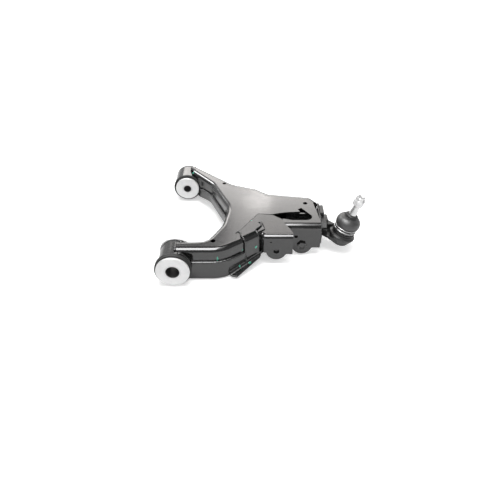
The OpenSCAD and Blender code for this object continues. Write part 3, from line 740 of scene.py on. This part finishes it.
# %% Stiffener welds
KNEE = np.array([101.0, -10.0])
ELBOW = np.array([215.0, 79.0])
SLANT = (ELBOW - KNEE) / np.linalg.norm(ELBOW - KNEE)
LEFT = np.array([-SLANT[1], SLANT[0]])
PLATE_SKIN, PLATE_BEND, PLATE_TOP, PLATE_FOOT = 3.8, 14.8, 41.8, -9.5
BEAD_SUNK, BELOW_BEND = 1.3, 2
PLATE_SIDES = [
    ("left", 0.396, [[126.3, 45.8, 37.6], [131.8, 53.2, 37.8], [137.6, 48.5, 38.4]], 21),
    ("right", 0.644, [[174.9, 88.7, 37.6], [181.0, 90.5, 37.6], [181.4, 76.0, 38.0]], 22),
]
PLATE_FOOT_LINE = [
    [139, 20.4, 7], [144.5, 22.2, 4], [148.2, 24.0, -3], [148.6, 22.4, -11], [149.2, 22.4, -20],
]


def on_slant(share):
    """A place along the slanting wall, from its knee at 0 to its elbow at 1."""
    return KNEE + np.multiply.outer(share, ELBOW - KNEE)


def plate_edge(share, bend_points=16, wall_points=10):
    """The edge of the folded plate from the roof down to its foot, with the way it faces. Over
    the bend it is a quarter circle of the plate's outer radius, less what the bead is sunk."""
    turn = np.radians(np.linspace(90, 0, bend_points))
    radius = PLATE_BEND - BEAD_SUNK
    inward = PLATE_BEND - PLATE_SKIN - radius * np.cos(turn)
    height = PLATE_TOP - PLATE_BEND + radius * np.sin(turn)
    inward = np.append(inward, np.full(wall_points, inward[-1]))
    height = np.append(height, np.linspace(height[-1] - BELOW_BEND, PLATE_FOOT, wall_points))
    tilt = np.append(turn, np.zeros(wall_points))
    plan = on_slant(share) + inward[:, None] * LEFT
    facing = np.column_stack([-np.cos(tilt)[:, None] * LEFT, np.sin(tilt)])
    return np.column_stack([plan, height]), facing


for side, share, hook, seed in PLATE_SIDES:
    edge, facing = plate_edge(share)
    path = np.concatenate([hook, edge])
    facing = np.concatenate([[[0, 0, 1]] * len(hook), facing])
    weld_bead("stiffener_weld_" + side, path, facing, width=3.6, seed=seed)
foot_facing = (0.62, -0.79, 0.2)
weld_bead("stiffener_weld_foot", PLATE_FOOT_LINE, foot_facing, width=4.6, seed=23, ripple=0.16)

# %% [markdown]
# At the outer end the box is welded to the forged base: one bead over the roof's edge and one down
# the edge of the near wall. Both joints are straight, and the bead's own ripples keep them from
# looking ruled.

# %% Outer end welds
END_X = 312.4
over = np.linspace((END_X, 170, 35.6), (END_X, 93, 35.6), 40)
down = np.linspace((END_X, 79.6, 24), (END_X, 79.6, -13), 20)
weld_bead("end_weld_roof", over, (0.5, 0, 1), width=5.0, seed=31, ripple=0.13)
weld_bead("end_weld_wall", down, (0.6, -1, 0), width=4.6, seed=32, ripple=0.13)

# %% [markdown]
# The bracket's saddle is a thin plate that lies on the roof, and only its edge shows. One fine
# bead along the edge is enough to catch the light.

# %% Saddle edge
SADDLE_LINE = [
    [133, 53.5, 37.7], [153.2, 86.8, 37.7], [174.6, 121.8, 37.7], [178, 123.4, 37.7],
    [206, 121, 37.5],
]
weld_bead("saddle_edge", SADDLE_LINE, (0, 0, 1), width=1.6, seed=24, ripple=0.0)

# %% [markdown]
# Below the slanting wall a flange stands out, with a smooth fillet at the wall and a rolled rim.
# The solid is a flat plate, so a profile with both curves is carried along the wall in its place.

# %% Flange with a rolled rim
FLANGE_SHARES = np.linspace(0.1, 0.66, 120)
FLANGE_STATIONS, FLANGE_WIDTHS = (0.1, 0.14, 0.62, 0.66), (9.5, 18.5, 8.6, 4.5)
FLANGE_INSET, SHEET = 0.2, 3.5
HOLLOW, HOLLOW_REACH, HOLLOW_ROOM = 6.5, 6.4, 9
ROLL, ROLL_DROP = 2.4, 0.6
FLANGE_KEEL, FLANGE_BELLY = -35.0, -14.0
RAMP_ANGLE, RAMP_START, RAMP_LENGTH = math.radians(53), 60, 105
RAMP_WAY = np.array([math.cos(RAMP_ANGLE), math.sin(RAMP_ANGLE)])


def flange_skin(shares):
    """The flange's profile at each place along the wall: out from the wall it falls as a hollow
    fillet, runs flat, rises over the rim as part of a circle and comes back along the underside.
    Where the flange is narrow the fillet is squeezed to the room it has. The underside climbs with
    the ramp of the arm, between keel and belly."""
    to_rim = np.interp(shares, FLANGE_STATIONS, FLANGE_WIDTHS)[:, None] - ROLL
    fillet = np.radians(np.linspace(0, 90, 9))
    rim = np.radians(np.linspace(150, -90, 13))
    hollow = np.minimum(FLANGE_INSET + HOLLOW * (1 - np.cos(fillet)), HOLLOW_REACH)
    hollow = hollow * np.minimum(1, to_rim / HOLLOW_ROOM)
    back = np.full((len(shares), 1), FLANGE_INSET)
    across = np.concatenate([hollow, to_rim + ROLL * np.cos(rim), back], axis=1)
    hollow_rise, rim_rise = HOLLOW * (1 - np.sin(fillet)), ROLL * np.sin(rim) - ROLL_DROP
    rise = np.concatenate([hollow_rise, rim_rise, [-SHEET]])
    plan = on_slant(shares)[:, None, :] - (PLATE_SKIN + across)[..., None] * LEFT
    ramp = (plan @ RAMP_WAY - RAMP_START) * (FLANGE_BELLY - FLANGE_KEEL) / RAMP_LENGTH
    under = np.clip(FLANGE_KEEL + ramp, FLANGE_KEEL, FLANGE_BELLY)
    return np.concatenate([plan, (under + SHEET + rise)[..., None]], -1) * MM


flange = closed_skin("wall_flange", flange_skin(FLANGE_SHARES))
flange.data.materials.append(arm_paint)
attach(flange, "arm")
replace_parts(flange, "edge_flange")
print("flange", len(flange.data.vertices), "points")

# %% [markdown]
# Seen from the front both weld nuts are closed. Each gets a shallow domed end inside its bore:
# a lens whose rim is the bore and whose faces bulge a little.

# %% Closed ends of the weld nuts
NUT_BORE = 12.3
NUT_BULGE = 0.7
NUT_ROWS, NUT_COLUMNS = 24, 40


def nut_end(name, node, recess):
    """A lens in a bore along Y, at a recess behind the nut's near face. Over half a turn its
    radius follows a sine and its bulge a cosine, so both faces meet in a round rim."""
    low, high = (np.array(corner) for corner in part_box(node))
    middle = (low + high) / 2
    half_turn = np.radians(np.linspace(4, 176, NUT_ROWS))[:, None]
    turn = np.linspace(0, 2 * math.pi, NUT_COLUMNS, endpoint=False)
    radius = NUT_BORE / 2 * MM * np.sin(half_turn)
    depth = low[1] + recess * MM - NUT_BULGE * MM * np.cos(half_turn)
    grid = np.stack(
        np.broadcast_arrays(
            middle[0] + radius * np.cos(turn), depth, middle[2] + radius * np.sin(turn)
        ),
        -1,
    )
    piece = closed_skin(name, grid)
    piece.data.materials.append(nut_paint)
    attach(piece, "arm")
    print(name, "at", np.round(middle, 4))


nut_end("link_nut_end", "link_weld_nut", recess=1.5)
nut_end("shock_nut_end", "shock_weld_nut", recess=1.6)

# %% [markdown]
# The boot is soft rubber: it is clamped to the housing by two wires and to the stud by its collar.
# It is a profile turned about the stud's axis. The foot follows the housing, the top follows the
# collar, and the wall between them turns smoothly from one to the other.

# %% Boot
AXIS = np.array([math.sin(LEAN), 0, math.cos(LEAN)])
ACROSS = np.array([math.cos(LEAN), 0, -math.sin(LEAN)])
CUFF = [[20.9, 11.6], [23.5, 11.6], [23.5, 16.5], [23.5, 26.2], [25.4, 26.8]]
MOUTH = [[15.4, 50.4], [14.3, 50.2], [9.4, 49.9], [9.4, 47.6]]
CUFF_TOP = [[20.9, 27]]
DOME_MIDDLE = np.array([13, 33])
DOME_OUTER, DOME_INNER = np.array([14, 16]), np.array([11.6, 13.6])
PARTING_DEPTH, PARTING_PLACE, PARTING_WIDTH = 0.25, -0.05, 0.03
BOOT_ROWS, BOOT_COLUMNS = 260, 96


def spokes(turn):
    """Unit vectors square to the stud's axis, one for each angle of a turn about it."""
    return np.cos(turn)[:, None] * ACROSS + np.sin(turn)[:, None] * np.array([0, 1, 0])


def boot_profile():
    """Cuff, dome and thin inner wall as one closed line of radius and height in millimetres. The
    dome is part of an ellipse, less a narrow bell curve for the parting line near its widest place,
    and corners are rounded by averaging every point with its two neighbours a few times."""
    rise = np.radians(np.linspace(-22, 86, 40))
    arc = np.column_stack([np.cos(rise), np.sin(rise)])
    dome = DOME_MIDDLE + DOME_OUTER * arc
    dome[:, 0] -= PARTING_DEPTH * np.exp(-(((rise - PARTING_PLACE) / PARTING_WIDTH) ** 2))
    inside = DOME_MIDDLE + DOME_INNER * arc[::-1]
    line = np.concatenate([CUFF, dome, MOUTH, inside, CUFF_TOP, CUFF[:1]])
    reach = np.concatenate([[0], np.cumsum(np.linalg.norm(np.diff(line, axis=0), axis=1))])
    even = np.linspace(0, reach[-1], BOOT_ROWS, endpoint=False)
    line = np.column_stack([np.interp(even, reach, line[:, n]) for n in range(2)])
    for _ in range(3):
        line = (np.roll(line, 1, 0) + 2 * line + np.roll(line, -1, 0)) / 4
    return line


boot_radius, boot_height = (boot_profile() * MM).T
boot_spokes = spokes(np.linspace(0, 2 * math.pi, BOOT_COLUMNS, endpoint=False))
boot_middle = BALL + boot_height[:, None] * AXIS
boot_grid = boot_middle[:, None, :] + boot_radius[:, None, None] * boot_spokes
boot = closed_skin("rubber_boot", boot_grid, torus=True)
boot.data.materials.append(boot_rubber)
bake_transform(boot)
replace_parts(boot, "boot")
print("boot", len(boot.data.vertices), "points")

# %% [markdown]
# Two wires clamp the cuff. Each is a tube bent into a ring whose two ends pass each other, so the
# ring climbs by one wire's width on its way round.

# %% Clamping wires
WIRE = 1.05
WIRE_SEAT = 23.6
WIRE_TURN = 385
WIRE_CLIMB = 2.1 * WIRE
WIRE_POINTS, WIRE_SIDES = 200, 12
WIRE_TIP, TIP_LEAST = 0.05, 0.001


def clamp_wire(name, height):
    """A tube along a helix of a little more than one turn, with rounded ends."""
    turn = np.radians(np.linspace(0, WIRE_TURN, WIRE_POINTS))
    climb = height + WIRE_CLIMB * (turn / turn[-1] - 0.5)
    spoke = spokes(turn)
    centre = BALL + (WIRE_SEAT + WIRE) * MM * spoke + (climb * MM)[:, None] * AXIS
    a = np.linspace(0, 2 * math.pi, WIRE_SIDES, endpoint=False)
    end = np.sqrt(np.clip(np.minimum(turn, turn[-1] - turn) / WIRE_TIP, TIP_LEAST, 1))
    radius = (WIRE * MM * end)[:, None, None]
    ring = np.cos(a)[None, :, None] * spoke[:, None] + np.sin(a)[None, :, None] * AXIS
    piece = closed_skin(name, centre[:, None] + radius * ring)
    piece.data.materials.append(wire_steel)
    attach(piece, "arm")
    print(name, "at", height, "mm above the ball")
    return piece


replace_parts(clamp_wire("boot_wire_lower", 16.6), "boot_rings")
clamp_wire("boot_wire_upper", 22.6)

# %% [markdown]
# Dressing a part must not make it grow. The box of the solids was kept at the start.
